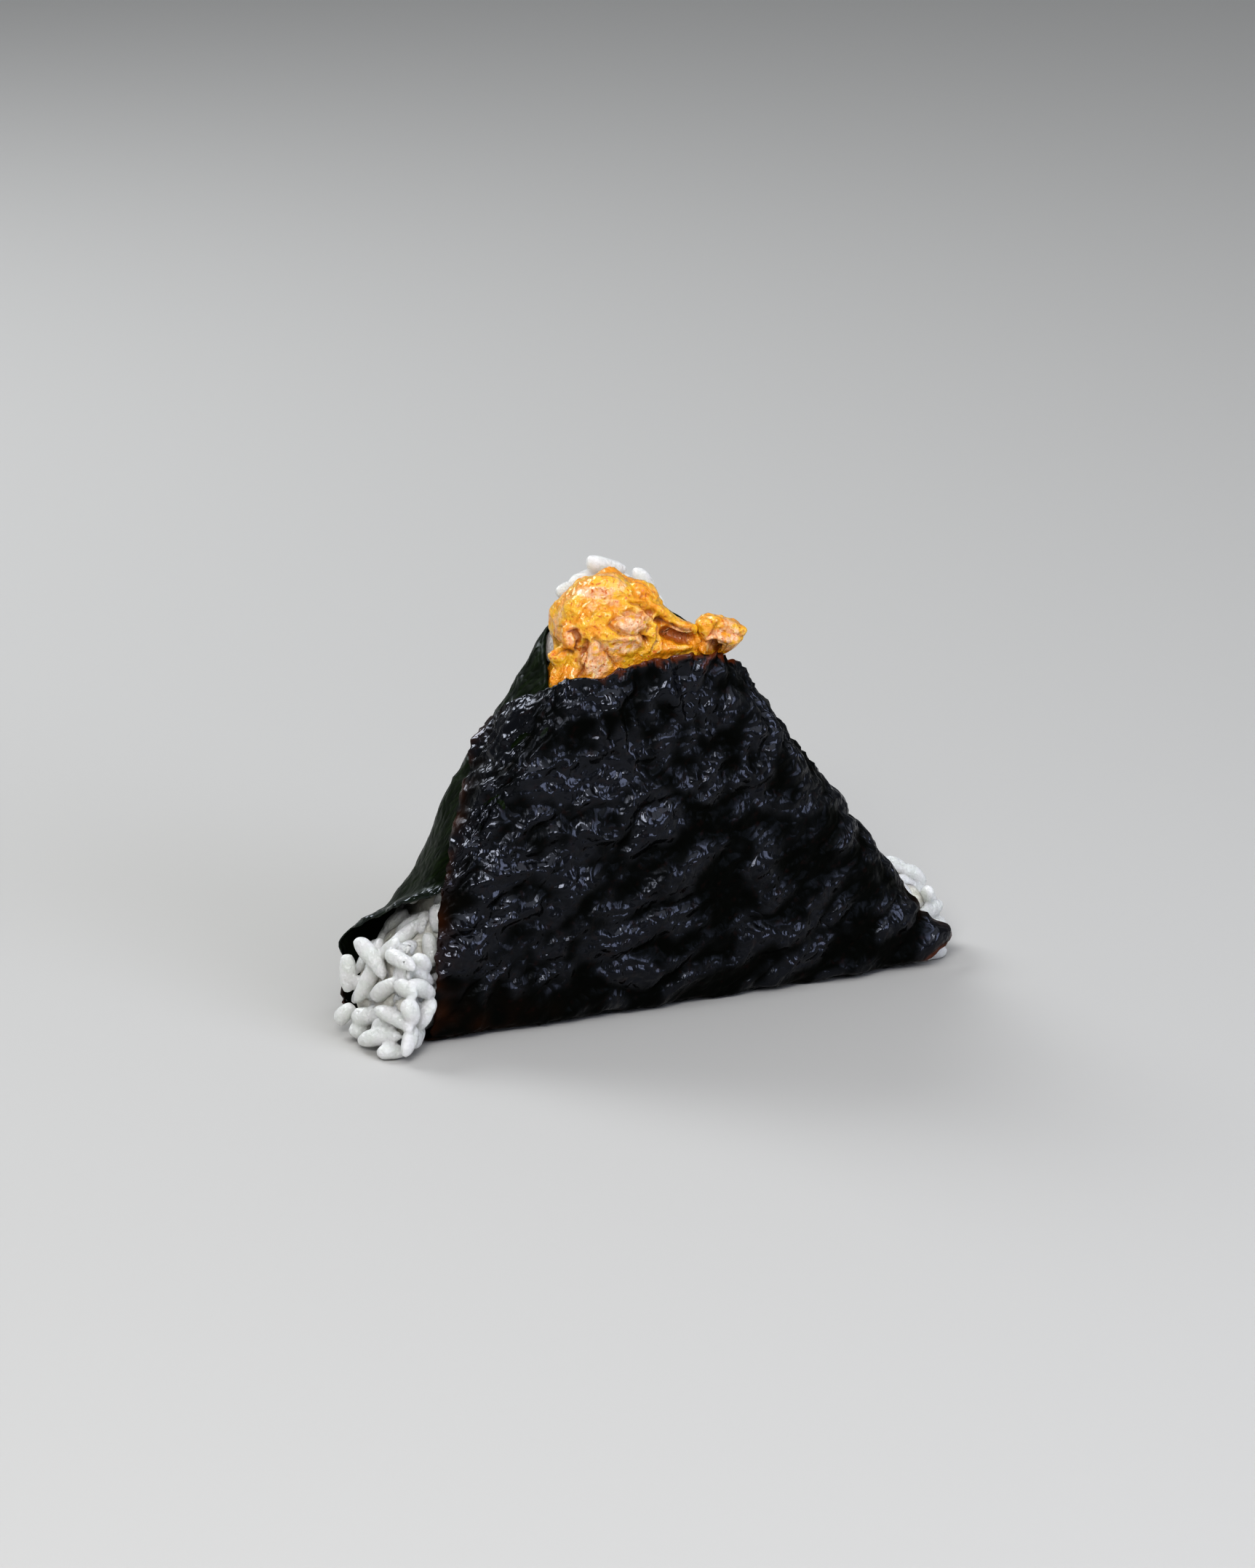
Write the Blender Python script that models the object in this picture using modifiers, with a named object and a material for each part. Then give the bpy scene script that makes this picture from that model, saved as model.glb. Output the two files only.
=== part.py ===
"""Onigiri: a triangular ball of rice in one folded sheet of nori, with a salmon filling at its top.

The modelling frame is in millimetres: X runs along the base from the sheet's front-left corner, Y runs
from the front face to the back one, and Z is up from the surface that the rice ball stands on.
CENTRE then moves everything so that the finished part is centred over its own base.
"""

import math

import bmesh
import bpy
import numpy as np
from mathutils import Matrix, Vector

MM = 0.001
CENTRE = (43.7, 8.3, 0.0)

# The ideal prism that the nori is folded over: five flat faces, rounded where they meet.
LEFT_FOOT = -13.6
RIGHT_FOOT = 97.8
LEFT_SLOPE = math.radians(57.6)
RIGHT_SLOPE = math.radians(53.0)
FRONT_FOOT = -1.5
BACK_FOOT = 22.0
FRONT_LEAN = 0.05
BACK_LEAN = 0.045
UPRIGHT_ROUNDING = 6.0
BASE_ROUNDING = 2.2
BELLY = 4.0
LEFT_BELLY = 1.4
RIGHT_BELLY = -0.3
SLOPE_BELLY_HEIGHT = 31.0
SLOPE_BELLY_SPAN = 13.0
BELLY_REACHES = (14.0, 14.0, 12.0)

# The sheet of nori, as it lies flat: front panel, strip under the base, back panel.
SHEET_WIDTH = 97.0
SHEET_NARROWING = 5.0
TEAR_DEPTH = 8.0
TEAR_HEIGHT = 14.0
TEAR_REACH = 8.0
FRONT_HEIGHT = 57.0
BASE_STRIP = BACK_FOOT - FRONT_FOOT
BACK_HEIGHT = 63.4
SHEET_TURN = 0.066
NORI_THICKNESS = 0.4
NORI_STEP = 3.6
LAYER_STEP = 1.0

# The back panel's left edge stands out over the bare rice like an awning: it runs further out than the
# front panel's edge, its rim curls outward between two climbs up the panel, its corner is pulled out
# into a tip, and the slope above it is hollow.
BACK_WIDENING = 4.0
AWNING_WIDENING = 5.5
AWNING_CLIMB = (10.0, 36.0)
RIM_CURL = 2.4
RIM_REACH = 3.0
RIM_STARTS = (8.0, 13.0)
RIM_ENDS = (26.0, 36.0)
TIP_PLACE = (-5.0, 18.5, 12.0)
TIP_RADII = (5.0, 6.0, 5.0)
TIP_SHIFT = (-1.7, 0.3, 0.0)
HOLLOW_PLACE = (2.5, 19.0, 28.0)
HOLLOW_RADII = (7.0, 8.0, 10.0)
HOLLOW_DEPTH = 2.4

# The rice and the filling.
RICE_INSET = 1.15
RICE_UNDER_FLAPS = 2.15
RICE_LEFT_END = -10.2
RICE_RIGHT_END = 97.6
RICE_TOP = 70.9
TOP_MIDDLE = 37.0
RICE_REST = 0.1
RICE_RELIEF = 0.75
LEFT_SPILL = 5.2
RIGHT_SPILL = 4.8
APEX_SPILL = 3.2
END_ROUNDING = 6.0
RICE_RIPPLE = 5.2
DIP_MARGIN = 0.3
CONTACT_GAP = 0.6


def unit(x, y, z):
    vector = np.array((x, y, z), float)
    return vector / np.linalg.norm(vector)


class Face:
    """One flat face of the prism: its outward normal, and a point that it passes through."""

    def __init__(self, normal, point):
        self.normal = unit(*normal)
        self.offset = float(self.normal @ np.array(point, float))

    def distance(self, points):
        return points @ self.normal - self.offset


FRONT = Face((0, -1, FRONT_LEAN), (0, FRONT_FOOT, 0))
BACK = Face((0, 1, BACK_LEAN), (0, BACK_FOOT, 0))
BOTTOM = Face((0, 0, -1), (0, 0, 0))
LEFT = Face((-math.sin(LEFT_SLOPE), 0.05, math.cos(LEFT_SLOPE)), (LEFT_FOOT, 0, 0))
RIGHT = Face((math.sin(RIGHT_SLOPE), 0, math.cos(RIGHT_SLOPE)), (RIGHT_FOOT, 0, 0))


def smooth_step(value, low, high):
    t = np.clip((value - low) / (high - low), 0, 1)
    return t * t * (3 - 2 * t)


def bump(points, centre, radii):
    """1 at the centre, falling smoothly to 0 a couple of radii away."""
    scaled = (points - np.array(centre, float)) / np.array(radii, float)
    return np.exp(-(scaled * scaled).sum(axis=1))


def ripple(points, wavelength, seed):
    """Smooth unevenness between about -1 and 1, made of a few waves in seeded directions."""
    rng = np.random.default_rng(seed)
    total = np.zeros(len(points))
    for _ in range(7):
        direction = unit(*rng.normal(size=3))
        phase = rng.uniform(0, math.tau)
        total += np.sin(points @ direction * math.tau / wavelength / rng.uniform(0.8, 1.4) + phase)
    return total / 3.2


def belly(points):
    """How far the two broad faces swell in their middle."""
    inward = (-LEFT.distance(points), -RIGHT.distance(points), points[:, 2])
    swell = np.full(len(points), BELLY)
    for depth, reach in zip(inward, BELLY_REACHES):
        swell *= 1 - np.exp(-np.clip(depth, 0, None) / reach)
    return swell


def slope_swell(points):
    """The share of its belly that a slope has at each height: the whole of it half way up."""
    return np.exp(-(((points[:, 2] - SLOPE_BELLY_HEIGHT) / SLOPE_BELLY_SPAN) ** 2))


def rounded_meeting(distances, normals, rounding):
    """Joins surfaces, each given by its signed distances and normals, with rounded edges."""
    normals = [np.broadcast_to(normal, (len(distances[0]), 3)) for normal in normals]
    reaches = [np.clip(distance + rounding, 0, None) for distance in distances]
    length = np.sqrt(sum(reach**2 for reach in reaches))
    weights = [reach / np.clip(length, 1e-9, None) for reach in reaches]
    gradient = sum(weight[:, None] * normal for weight, normal in zip(weights, normals))
    nearest = np.maximum.reduce(distances)
    deep = nearest <= -rounding
    for distance, normal in zip(distances, normals):
        closest = deep & (distance == nearest)
        gradient[closest] = normal[closest]
    return np.where(deep, nearest, length - rounding), gradient


def distance_to_prism(points, spill_left=0.0, spill_right=0.0):
    """Signed distance to the rounded prism, negative inside, and its gradient. The spills move the
    faces outward near its left and right ends, where the rice is bare."""
    swell = belly(points)
    sides = (
        FRONT.distance(points) - swell - spill_left,
        BACK.distance(points) - swell + 0.8 * spill_left,
        LEFT.distance(points) - LEFT_BELLY * slope_swell(points) - 0.35 * spill_left,
        RIGHT.distance(points) - RIGHT_BELLY * slope_swell(points) - spill_right,
    )
    normals = (FRONT.normal, BACK.normal, LEFT.normal, RIGHT.normal)
    upright, slope = rounded_meeting(sides, normals, UPRIGHT_ROUNDING)
    whole = (upright, BOTTOM.distance(points))
    return rounded_meeting(whole, (slope, BOTTOM.normal), BASE_ROUNDING)


# ---------------------------------------------------------------- nori


def turn_about_crease(points, face, following):
    """Turns points of one face's plane about the crease between it and the following face."""
    axis = np.cross(face.normal, following.normal)
    angle = math.atan2(np.linalg.norm(axis), face.normal @ following.normal)
    rotation = np.array(Matrix.Rotation(angle, 3, Vector(axis)))
    planes = np.array((face.normal, following.normal, axis))
    pivot = np.linalg.solve(planes, np.array((face.offset, following.offset, 0.0)))
    return (points - pivot) @ rotation.T + pivot


def fold(points, face, following):
    """Folds what runs past the edge of a face over onto the next face, and on from there."""
    if not following:
        return points
    past = following[0].distance(points) > 0
    if past.any():
        turned = turn_about_crease(points[past], face, following[0])
        points = points.copy()
        points[past] = fold(turned, following[0], following[1:])
    return points


def lay_sheet(across, along):
    """Puts points of the flat sheet on the prism. along is below 0 on the front panel, runs from 0 to
    BASE_STRIP under the base, and goes on from there up the back panel."""
    zero = np.zeros(len(across))
    under_base = np.clip(along, 0, BASE_STRIP)
    points = np.column_stack((across - SHEET_TURN * along, FRONT_FOOT + under_base, zero))
    up_front = np.cross((1, 0, 0), FRONT.normal) * -1
    up_back = np.cross((1, 0, 0), BACK.normal)
    front = along < 0
    back = along > BASE_STRIP
    points[front] -= along[front, None] * up_front
    points[back] += (along[back, None] - BASE_STRIP) * up_back
    for side in (LEFT, RIGHT):
        points[front] = fold(points[front], FRONT, (side, BACK))
        points[back] = fold(points[back], BACK, (side, FRONT))
    return points


def layer_depth(along):
    """The back panel and its flaps lie under the front ones, one layer further in."""
    return -LAYER_STEP * smooth_step(along, BASE_STRIP, BASE_STRIP + 9)


def sheet_edges(along):
    """Where the sheet's left and right edges are, across the flat sheet."""
    wider = BACK_WIDENING * smooth_step(along, 0, BASE_STRIP)
    awning = AWNING_WIDENING * smooth_step(along - BASE_STRIP, *AWNING_CLIMB)
    narrower = SHEET_NARROWING * smooth_step(along, 0, BASE_STRIP)
    tear = TEAR_DEPTH * np.exp(-(((along + TEAR_HEIGHT) / TEAR_REACH) ** 2))
    return -wider - awning, SHEET_WIDTH - narrower - tear


def shape_sheet(points, along, from_left):
    """Rounds the folded sheet over the rice, then shapes the awning over the bare rice on its left.
    from_left is each point's distance from the sheet's left edge."""
    depth = layer_depth(along)
    for _ in range(8):
        distance, gradient = distance_to_prism(points)
        step = (distance - depth) / np.clip((gradient**2).sum(axis=1), 0.3, None)
        points -= step[:, None] * gradient
    climb = along - BASE_STRIP
    on_back = smooth_step(climb, 0, 6)
    at_rim = smooth_step(climb, *RIM_STARTS) * (1 - smooth_step(climb, *RIM_ENDS))
    curl = RIM_CURL * np.exp(-((from_left / RIM_REACH) ** 2)) * at_rim
    points = points + curl[:, None] * LEFT.normal
    tip = bump(points, TIP_PLACE, TIP_RADII) * on_back
    points = points + tip[:, None] * np.array(TIP_SHIFT)
    hollow = HOLLOW_DEPTH * bump(points, HOLLOW_PLACE, HOLLOW_RADII) * on_back
    points = points - hollow[:, None] * LEFT.normal
    points[np.abs(points[:, 2]) < 1e-4, 2] = 0
    return points


def make_nori():
    length = FRONT_HEIGHT + BASE_STRIP + BACK_HEIGHT
    columns = round(SHEET_WIDTH / NORI_STEP)
    rows = round(length / NORI_STEP)
    mesh = bmesh.new()
    bmesh.ops.create_grid(mesh, x_segments=columns, y_segments=rows, size=0.5)
    mesh.verts.ensure_lookup_table()
    flat = np.array([vertex.co[:2] for vertex in mesh.verts], float) + 0.5
    along = flat[:, 1] * length - FRONT_HEIGHT
    left, right = sheet_edges(along)
    from_left = flat[:, 0] * (right - left)
    points = shape_sheet(lay_sheet(left + from_left, along), along, from_left)
    for vertex, point in zip(mesh.verts, points):
        vertex.co = point * MM
    bmesh.ops.reverse_faces(mesh, faces=mesh.faces)
    nori = add_object("nori_wrap", mesh)
    shell = nori.modifiers.new("thickness", "SOLIDIFY")
    shell.thickness = NORI_THICKNESS * MM
    shell.offset = -1
    return nori


# ---------------------------------------------------------------- rice and filling

# Below these two planes the nori is open at its lower corners, and the rice is bare.
LEFT_OPENING = Face((0, -0.5, -1), (0, 0, 23))
RIGHT_OPENING = Face((0, 0.28, -1), (0, 0, 11.8))

# The hollow in the rice's top that holds the filling lies in front of one plane and above the other.
SOCKET_BACK = Face((0, -20, 6), (0, 9.5, 50))
SOCKET_FLOOR = Face((0, -4, 6), (0, 9.5, 50))
SOCKET_ROUNDING = 1.5
MOUND = ((34.0, 8.0, 58.0), (11.8, 8.0, 13.2))
SHOULDER = ((44.3, 7.0, 54.5), (9.3, 6.5, 8.5))
CHUNK_CENTRE = (51.7, 2.6, 60.8)
CHUNK_RADII = (5.2, 3.0, 2.2)
CHUNK_TILT = math.radians(20)
CHUNK_CURL = 0.035
FILLING_LUMP = 6.0
FILLING_LUMP_HEIGHT = 0.45
FILLING_MIDDLE = (38.0, 7.2, 56.5)
FILLING_REACHES = (17.0, 8.0, 13.0)


def smooth_max(*values, radius):
    top = np.maximum.reduce(values)
    return top + radius * np.log(sum(np.exp((value - top) / radius) for value in values))


def socket(points):
    """Positive inside the hollow that the filling sits in."""
    walls = (-SOCKET_BACK.distance(points), -SOCKET_FLOOR.distance(points))
    return -smooth_max(*walls, radius=SOCKET_ROUNDING)


def ellipsoid(points, centre, radii):
    """Roughly the signed distance to an ellipsoid."""
    scaled = (points - np.array(centre)) / np.array(radii)
    return (np.sqrt((scaled**2).sum(axis=1)) - 1) * min(radii)


def chunk_surface(points):
    """Roughly the signed distance to the separate slab of salmon, before it is curled."""
    turn = np.array(Matrix.Rotation(CHUNK_TILT, 3, "Y"))
    return ellipsoid((points - CHUNK_CENTRE) @ turn, (0, 0, 0), CHUNK_RADII)


def rice_surface(points):
    """Negative inside the rice. It lies close under the nori, and where it is bare it bulges
    unevenly by about the size of a grain."""
    x, y, z = points.T
    off_back = 1 - smooth_step(y, 12, 17)
    off_front = smooth_step(y, 2.5, 6)
    open_left = smooth_step(-x, 0.9, 4.0) * smooth_step(LEFT_OPENING.distance(points), 0.9, 4.5)
    open_right = smooth_step(x, 82, 88) * smooth_step(RIGHT_OPENING.distance(points), 0, 2.4)
    open_right = open_right * off_front * off_back
    open_top = smooth_step(z, 64.5, 68)
    bare = np.clip(open_left * off_back + open_right + open_top, 0, 1)
    main, _ = distance_to_prism(points, LEFT_SPILL * open_left, RIGHT_SPILL * open_right)
    two_layers = np.maximum(smooth_step(z, 4, 12), smooth_step(y, 10, 15))
    inset = RICE_INSET + (RICE_UNDER_FLAPS - RICE_INSET) * two_layers
    dip = (HOLLOW_DEPTH + DIP_MARGIN) * bump(points, HOLLOW_PLACE, HOLLOW_RADII)
    main = main + inset * (1 - 0.8 * bare) + dip - APEX_SPILL * open_top
    ends = np.maximum(RICE_LEFT_END - x, x - RICE_RIGHT_END)
    normals = (np.zeros(3), np.zeros(3))
    body, _ = rounded_meeting((main, ends), normals, END_ROUNDING)
    body = body + RICE_RELIEF * ripple(points, RICE_RIPPLE, 3) * bare
    dome = 0.02 * np.clip(np.abs(x - TOP_MIDDLE), 0, 12) ** 2
    top = z - RICE_TOP + dome + RICE_RELIEF * ripple(points, RICE_RIPPLE, 5)
    capped = smooth_max(body, top, radius=0.6)
    rest = RICE_REST + (RICE_INSET - RICE_REST) * smooth_step(x, -3, -1)
    return np.maximum.reduce((capped, socket(points), rest - z))


def filling_surface(points):
    """Negative inside the filling: a heap with a lower shoulder on its right, held by the hollow in
    the rice and, below the nori's top edge, by the front panel."""
    lumps = FILLING_LUMP_HEIGHT * ripple(points, FILLING_LUMP, 11)
    heap = np.minimum(ellipsoid(points, *MOUND), ellipsoid(points, *SHOULDER)) + lumps
    in_socket = CONTACT_GAP - socket(points)
    prism, _ = distance_to_prism(points)
    above_edge = smooth_step(points[:, 2], FRONT_HEIGHT + 1, FRONT_HEIGHT + 8)
    in_sheet = prism + NORI_THICKNESS + LAYER_STEP + CONTACT_GAP - 4 * above_edge
    beside_chunk = CONTACT_GAP - chunk_surface(points)
    return smooth_max(heap, in_socket, in_sheet, beside_chunk, radius=0.3)


def march(surface, centres, directions, reach):
    """Moves points outward from their centres until they meet the surface, by bisection."""
    steps = np.linspace(0, reach, 90)
    inside = np.array([surface(centres + directions * step) < 0 for step in steps])
    first_out = np.argmin(inside, axis=0)
    high = steps[first_out]
    low = steps[np.maximum(first_out - 1, 0)]
    for _ in range(18):
        middle = (low + high) / 2
        within = surface(centres + directions * middle[:, None]) < 0
        low = np.where(within, middle, low)
        high = np.where(within, high, middle)
    return centres + directions * low[:, None]


def make_rice():
    """A sphere stretched along the base: each ring of it becomes one upright section of the rice."""
    mesh = bmesh.new()
    bmesh.ops.create_uvsphere(mesh, u_segments=40, v_segments=44, radius=1)
    turn = Matrix.Rotation(math.pi / 2, 3, "Y")
    bmesh.ops.rotate(mesh, verts=mesh.verts, matrix=turn)
    ball = np.array([vertex.co for vertex in mesh.verts], float)
    share = 0.5 - np.arcsin(np.clip(-ball[:, 0], -1, 1)) / math.pi
    x = RICE_LEFT_END + 0.15 + (RICE_RIGHT_END - RICE_LEFT_END - 0.3) * share
    ring = np.hypot(ball[:, 1], ball[:, 2])
    ring_safe = np.clip(ring, 1e-6, None)
    sideways = ball[:, 1] / ring_safe
    upward = ball[:, 2] / ring_safe
    directions = np.column_stack((np.zeros(len(x)), sideways, upward))
    directions[ring < 1e-5] = 0
    lowest = np.interp(x, (-11, 0, 88, 98), (5, 7, 7, 5))
    highest = np.interp(x, (-11, 0, 38, 88, 98), (5, 9, 60, 9, 5))
    furthest_back = np.interp(x, (10, 38, 60), (10.5, 15.8, 10.5))
    share_up = (1 + upward) / 2
    centre_y = 10.5 + (furthest_back - 10.5) * share_up
    centre_z = lowest + (highest - lowest) * share_up
    points = march(rice_surface, np.column_stack((x, centre_y, centre_z)), directions, 60)
    for vertex, point in zip(mesh.verts, points):
        vertex.co = point * MM
    return add_object("rice_ball", mesh)


def make_filling():
    mesh = bmesh.new()
    bmesh.ops.create_uvsphere(mesh, u_segments=34, v_segments=20, radius=1)
    directions = np.array([vertex.co for vertex in mesh.verts], float)
    directions *= np.array(FILLING_REACHES)
    directions /= np.linalg.norm(directions, axis=1)[:, None]
    centres = np.tile(np.array(FILLING_MIDDLE), (len(directions), 1))
    points = march(filling_surface, centres, directions, 30)
    for vertex, point in zip(mesh.verts, points):
        vertex.co = point * MM
    return add_object("salmon_filling", mesh)


def make_chunk():
    """A curled slab of salmon that leans out over the nori's edge, to the right of the heap."""
    mesh = bmesh.new()
    bmesh.ops.create_uvsphere(mesh, u_segments=16, v_segments=12, radius=1)
    for vertex in mesh.verts:
        along, depth, up = (share * radius for share, radius in zip(vertex.co, CHUNK_RADII))
        vertex.co = Vector((along, depth, up - CHUNK_CURL * along**2)) * MM
    tilt = Matrix.Rotation(CHUNK_TILT, 4, "Y")
    place = Matrix.Translation(Vector(CHUNK_CENTRE) * MM)
    bmesh.ops.transform(mesh, matrix=place @ tilt, verts=mesh.verts)
    return add_object("salmon_chunk_right", mesh)


# ---------------------------------------------------------------- assembly

FINISHES = {
    "rice_ball": ((0.86, 0.87, 0.84), 0.35),
    "nori_wrap": ((0.012, 0.016, 0.014), 0.42),
    "salmon_filling": ((0.85, 0.36, 0.08), 0.3),
    "salmon_chunk_right": ((0.86, 0.42, 0.16), 0.3),
}


def finish_material(name):
    colour, roughness = FINISHES[name]
    material = bpy.data.materials.new(name)
    material.use_nodes = True
    shader = material.node_tree.nodes["Principled BSDF"]
    shader.inputs["Base Color"].default_value = (*colour, 1)
    shader.inputs["Roughness"].default_value = roughness
    shader.inputs["Metallic"].default_value = 0
    return material


def add_object(name, mesh):
    """Turns a finished bmesh into a named object, centred over the part's base."""
    data = bpy.data.meshes.new(name)
    mesh.to_mesh(data)
    mesh.free()
    data.shade_smooth()
    data.materials.append(finish_material(name))
    obj = bpy.data.objects.new(name, data)
    obj.location = -Vector(CENTRE) * MM
    bpy.data.collections["onigiri"].objects.link(obj)
    return obj


def main():
    for obj in list(bpy.data.objects):
        bpy.data.objects.remove(obj)
    collection = bpy.data.collections.new("onigiri")
    bpy.context.scene.collection.children.link(collection)
    make_rice()
    make_nori()
    make_filling()
    make_chunk()


main()
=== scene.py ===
"""Onigiri: the looks of the rice ball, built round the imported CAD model.

Shapes are worked out in millimetres in the part's modelling frame: X along the base from the sheet's
front-left corner, Y from the front face to the back one, Z up. to_row() takes them to the row frame.
"""

import itertools
import math

import bmesh
import bpy
import numpy as np
from mathutils import Matrix, Vector
from mathutils.bvhtree import BVHTree


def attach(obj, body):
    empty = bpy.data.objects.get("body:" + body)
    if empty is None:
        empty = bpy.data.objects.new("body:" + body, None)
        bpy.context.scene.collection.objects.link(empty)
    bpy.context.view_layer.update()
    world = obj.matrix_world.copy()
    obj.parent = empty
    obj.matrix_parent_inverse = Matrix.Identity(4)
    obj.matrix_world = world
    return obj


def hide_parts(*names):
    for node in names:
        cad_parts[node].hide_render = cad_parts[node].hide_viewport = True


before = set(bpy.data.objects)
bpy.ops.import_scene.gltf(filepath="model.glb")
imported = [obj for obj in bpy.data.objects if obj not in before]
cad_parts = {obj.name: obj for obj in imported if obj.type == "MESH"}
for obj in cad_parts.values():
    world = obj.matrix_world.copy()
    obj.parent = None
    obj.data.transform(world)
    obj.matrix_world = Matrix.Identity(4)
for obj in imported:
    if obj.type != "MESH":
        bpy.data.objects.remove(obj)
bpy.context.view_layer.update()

MM = 0.001
CENTRE = np.array((43.7, 8.3, 0.0))

# The prism that the sheet is folded over, and the sheet as it lies flat, both as in part.py. Lengths in
# this file are in millimetres, unless a comment says otherwise.
LEFT_FOOT = -13.6
RIGHT_FOOT = 97.8
LEFT_SLOPE = math.radians(57.6)
RIGHT_SLOPE = math.radians(53.0)
FRONT_FOOT = -1.5
BACK_FOOT = 22.0
FRONT_LEAN = 0.05
BACK_LEAN = 0.045
UPRIGHT_ROUNDING = 6.0
BASE_ROUNDING = 2.2
BELLY = 4.0
BELLY_REACHES = (14, 14, 12)
LEFT_BELLY = 1.4
RIGHT_BELLY = -0.3
SLOPE_BELLY_HEIGHT = 31.0
SLOPE_BELLY_SPREAD = 13

SHEET_WIDTH = 97.0
SHEET_NARROWING = 5.0
FRONT_HEIGHT = 57.0
BASE_STRIP = BACK_FOOT - FRONT_FOOT
BACK_HEIGHT = 63.4
SHEET_TURN = 0.066
LAYER_STEP = 1.0
LAYER_RUN = 9
TEAR_DEPTH = 8.0
TEAR_HEIGHT = 14.0
TEAR_REACH = 8.0

# The back panel's left edge stands out over the bare rice like an awning, as in the part.
BACK_WIDENING = 4.0
AWNING_WIDENING = 5.5
AWNING_CLIMB = (10.0, 36.0)
RIM_CURL = 2.4
RIM_REACH = 3.0
RIM_STARTS = (8.0, 13.0)
RIM_ENDS = (26.0, 36.0)
TIP_PLACE = (-5.0, 18.5, 12.0)
TIP_RADII = (5.0, 6.0, 5.0)
TIP_SHIFT = (-1.7, 0.3, 0.0)
HOLLOW_PLACE = (2.5, 19.0, 28.0)
HOLLOW_RADII = (7.0, 8.0, 10.0)
HOLLOW_DEPTH = 2.4

# Real thickness and fineness of the sheet's mesh, and how often its points are moved to the prism.
SHEET_THICKNESS = 0.22
COLUMNS = 232
FRONT_ROWS = 132
BASE_ROWS = 12
BACK_ROWS = 66
ROUNDING_STEPS = 8

# What is torn off the right end of the base fold, where along the sheet the tear grows and fades, and
# the tip above it, which stands clear of the ground.
CORNER_TRIM = 7.2
TRIM_GROWS = (-5.5, -1)
TRIM_FADES = (8, BASE_STRIP)
CORNER_PLACE = (92.5, 0.0, 5.0)
CORNER_RADII = (3.5, 6.0, 1.9)
CORNER_SHIFT = (1.5, -0.2, 0.7)

# How much higher than straight the torn top edge of the front panel stands, across the sheet.
TOP_EDGE = ((20, -0.2), (27, -0.8), (28.5, 0.3), (33, 1.1), (39, 1.7), (42.5, 1.4), (44.3, 0.3), (47, 0.8),
            (52, 0.3))

GRAIN_LENGTH = 7.8
GRAIN_WIDTH = 2.8
GRAIN_DEPTH = 2.0

# Sides of the cells in which each piece is melted into one skin.
CORE_CELL = 0.8
GRAIN_CELL = 0.30
FILLING_CELL = 0.22
SLAB_CELL = 0.16


# ---------------------------------------------------------------- helpers


def to_row(points):
    return (np.asarray(points, float) - CENTRE) * MM


def unit(x, y, z):
    vector = np.array((x, y, z), float)
    return vector / np.linalg.norm(vector)


def smooth_step(value, low, high):
    t = np.clip((value - low) / (high - low), 0, 1)
    return t * t * (3 - 2 * t)


def bump(points, centre, radii):
    """1 at the centre, falling smoothly to 0 a couple of radii away."""
    scaled = (points - np.array(centre, float)) / np.array(radii, float)
    return np.exp(-(scaled * scaled).sum(axis=1))


class Noise:
    """Smooth noise between about -1 and 1, which changes over a distance of about 1. Each use has a seed
    of its own, so that no two patterns line up."""

    SIZE = 512

    def __init__(self, seed):
        rng = np.random.default_rng(seed)
        self.order = rng.permutation(self.SIZE)
        slopes = rng.normal(size=(self.SIZE, 3))
        self.slopes = slopes / np.linalg.norm(slopes, axis=1)[:, None]

    def __call__(self, points):
        cell = np.floor(points).astype(int)
        share = points - cell
        blend = share**3 * (share * (share * 6 - 15) + 10)
        total = np.zeros(len(points))
        for corner in itertools.product((0, 1), repeat=3):
            at = (cell + corner) % self.SIZE
            index = self.order[at[:, 0]]
            index = self.order[(index + at[:, 1]) % self.SIZE]
            index = self.order[(index + at[:, 2]) % self.SIZE]
            weight = np.prod(np.where(corner, blend, 1 - blend), axis=1)
            total += weight * (self.slopes[index] * (share - corner)).sum(axis=1)
        return 1.6 * total


def new_object(name, data):
    obj = bpy.data.objects.new(name, data)
    bpy.context.scene.collection.objects.link(obj)
    return obj


def make_object(name, points, faces, material):
    """An object from points in millimetres in the modelling frame, shaded smooth."""
    mesh = bpy.data.meshes.new(name)
    mesh.from_pydata(to_row(points).tolist(), [], [list(face) for face in faces])
    mesh.shade_smooth()
    mesh.materials.append(material)
    return new_object(name, mesh)


def set_attribute(obj, name, values):
    """A number for each point, which the material reads by name."""
    layer = obj.data.attributes.new(name, "FLOAT", "POINT")
    layer.data.foreach_set("value", np.asarray(values, np.float32))


def apply_modifiers(obj):
    """Gives the object the mesh that its modifiers make."""
    graph = bpy.context.evaluated_depsgraph_get()
    mesh = bpy.data.meshes.new_from_object(obj.evaluated_get(graph))
    old = obj.data
    obj.modifiers.clear()
    obj.data = mesh
    bpy.data.meshes.remove(old)


def mesh_points(obj):
    """The object's points in millimetres in the modelling frame."""
    points = np.empty(len(obj.data.vertices) * 3)
    obj.data.vertices.foreach_get("co", points)
    return points.reshape(-1, 3) / MM + CENTRE


def mesh_normals(obj):
    normals = np.empty(len(obj.data.vertices) * 3)
    obj.data.vertex_normals.foreach_get("vector", normals)
    return normals.reshape(-1, 3)


def set_points(obj, points):
    obj.data.vertices.foreach_set("co", to_row(points).ravel())
    obj.data.update()


# ---------------------------------------------------------------- the prism and the folded sheet


class Face:
    """One flat face of the prism: its outward normal, and a point that it passes through."""

    def __init__(self, normal, point):
        self.normal = unit(*normal)
        self.offset = float(self.normal @ np.array(point, float))

    def distance(self, points):
        return points @ self.normal - self.offset


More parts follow.
